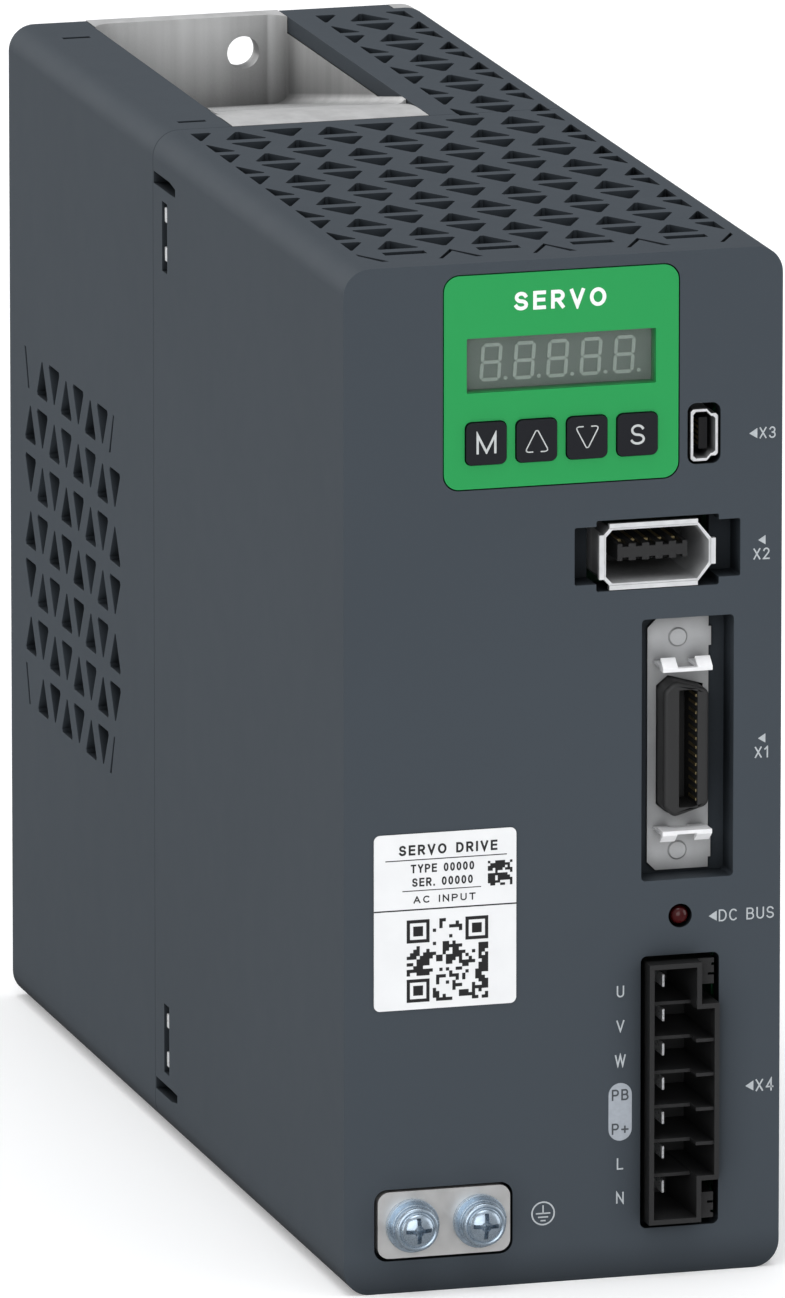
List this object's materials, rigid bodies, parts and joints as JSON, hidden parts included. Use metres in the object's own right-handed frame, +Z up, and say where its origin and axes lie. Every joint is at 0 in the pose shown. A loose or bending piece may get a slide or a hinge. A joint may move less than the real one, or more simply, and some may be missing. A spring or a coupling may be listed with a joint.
{
  "type": "servo drive",
  "caption": "Slim upright servo drive with a keypad and display, stacked front connectors, triangular vents and a metal rear mounting plate.",
  "frame": {"origin": "middle of the underside of the whole object's box, screws included", "axes": "+Z up, the front panel faces -Y and the rear mounting plate faces +Y, +X is the viewer's right when facing the front panel"},
  "size_m": [0.065, 0.1902, 0.15],
  "materials": {
    "front_shell": "fine textured slate grey moulding",
    "rear_shell": "fine textured slate grey moulding",
    "cast_aluminium": "brushed and milled",
    "zinc_screw": "blue zinc plated",
    "clip_steel": "bright spring steel",
    "green_panel": "smooth satin green",
    "window": "smoked clear plastic",
    "segments": "unlit pale grey",
    "display_body": "grey green face",
    "key_cap": "near black",
    "circuit_board": "green solder mask",
    "black_moulding": "black moulding",
    "chip": "black epoxy",
    "brass": "turned brass",
    "connector_shell": "bright tin plate",
    "gold_contact": "gold flash",
    "zinc_plate": "bead blasted zinc",
    "white_latch": "bright plated",
    "grey_moulding": "dark grey moulding",
    "power_moulding": "dark grey moulding",
    "tin_pin": "tin plated",
    "red_lens": "dark red lens",
    "earth_metal": "satin plate",
    "label": "printed white film",
    "capacitor_sleeve": "shrink sleeve",
    "relay_case": "cream case",
    "fan_plastic": "black moulding"
  },
  "bodies": {
    "drive": {"front_housing": "front_shell", "rear_housing": "rear_shell", "heatsink": "cast_aluminium", "chassis_screws": "zinc_screw", "housing_clips": "clip_steel", "keypad_panel": "green_panel", "display_window": "window", "display_segments": "segments", "display_module": "display_body", "keypad_board": "circuit_board", "key_switches": "black_moulding", "keypad_screws": "zinc_screw", "keypad_link": "black_moulding", "control_board": "circuit_board", "control_chips": "chip", "power_board": "circuit_board", "board_standoffs": "brass", "board_screws": "zinc_screw", "usb_shell": "connector_shell", "usb_tongue": "black_moulding", "usb_contacts": "gold_contact", "encoder_shell": "connector_shell", "encoder_tongue": "grey_moulding", "encoder_contacts": "gold_contact", "signal_plate": "zinc_plate", "signal_hooks": "white_latch", "signal_shroud": "grey_moulding", "signal_contacts": "gold_contact", "power_header": "power_moulding", "power_pins": "tin_pin", "charge_lamp": "red_lens", "earth_plate": "earth_metal", "earth_washers": "zinc_screw", "earth_screws": "zinc_screw", "rating_label": "label", "bus_capacitors": "capacitor_sleeve", "charge_relay": "relay_case", "power_module": "chip", "rectifier": "chip", "fan_frame": "fan_plastic", "fan_screws": "zinc_screw"},
    "button_mode": {"button_mode": "key_cap"},
    "button_up": {"button_up": "key_cap"},
    "button_down": {"button_down": "key_cap"},
    "button_set": {"button_set": "key_cap"},
    "fan_rotor": {"fan_rotor": "fan_plastic"}
  },
  "joints": [
    {"name": "button_mode_press", "type": "slide", "parent": "drive", "child": "button_mode", "axis": [0, 1, 0], "range_m": [0, 0.00035], "stiffness_N_per_m": 600},
    {"name": "button_up_press", "type": "slide", "parent": "drive", "child": "button_up", "axis": [0, 1, 0], "range_m": [0, 0.00035], "stiffness_N_per_m": 600},
    {"name": "button_down_press", "type": "slide", "parent": "drive", "child": "button_down", "axis": [0, 1, 0], "range_m": [0, 0.00035], "stiffness_N_per_m": 600},
    {"name": "button_set_press", "type": "slide", "parent": "drive", "child": "button_set", "axis": [0, 1, 0], "range_m": [0, 0.00035], "stiffness_N_per_m": 600},
    {"name": "fan_spin", "type": "hinge", "parent": "drive", "child": "fan_rotor", "pos_m": [-0.0225, 0.0583, 0.0752], "axis": [1, 0, 0], "continuous": true}
  ]
}
